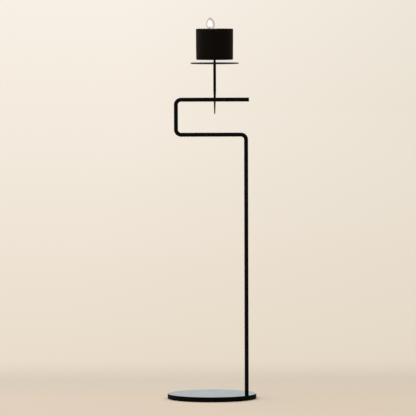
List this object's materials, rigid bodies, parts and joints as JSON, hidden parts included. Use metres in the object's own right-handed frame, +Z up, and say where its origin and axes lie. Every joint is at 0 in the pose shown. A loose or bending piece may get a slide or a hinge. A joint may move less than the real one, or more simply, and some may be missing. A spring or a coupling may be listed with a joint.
{
  "type": "torchere candle stand",
  "caption": "Floor-standing torchere: a bent black tube on a round base carries a lift-off tapered pin with a drip plate, a spike and a block candle.",
  "frame": {"origin": "centre of the round base on the floor, at the bottom of the whole object's box", "axes": "+Z up; the pole and all bends lie in the XZ plane, with the pole on the +X side; -Y is the front seen in the picture"},
  "size_m": [0.35, 0.35, 1.4668],
  "materials": {
    "base_lacquer": "gloss black lacquer on a turned steel disc",
    "glide_rubber": "matte",
    "bolt_steel": "satin zinc",
    "tube_paint": "satin black powder coat",
    "plug_plastic": "matte",
    "bush_plastic": "matte",
    "holder_paint": "satin black",
    "wax": "satin dyed wax",
    "wick_cotton": "charred cotton"
  },
  "bodies": {
    "stand": {"base_plate": "base_lacquer", "base_glides": "glide_rubber", "foot_bolt": "bolt_steel", "foot_washer": "bolt_steel", "foot_insert": "bolt_steel", "bent_tube": "tube_paint", "arm_end_plug": "plug_plastic"},
    "swivel": {"seat_bush": "bush_plastic"},
    "holder": {"holder_pin": "holder_paint", "drip_plate": "holder_paint", "candle_spike": "holder_paint"},
    "candle": {"candle_wax": "wax", "wick": "wick_cotton"}
  },
  "joints": [
    {"name": "holder_turn", "type": "hinge", "parent": "stand", "child": "swivel", "pos_m": [0.014, 0, 1.18], "axis": [0, 0, 1], "continuous": true},
    {"name": "holder_lift", "type": "slide", "parent": "swivel", "child": "holder", "axis": [0, 0, 1], "range_m": [0, 0.075]},
    {"name": "candle_lift", "type": "slide", "parent": "holder", "child": "candle", "axis": [0, 0, 1], "range_m": [0, 0.075]}
  ]
}
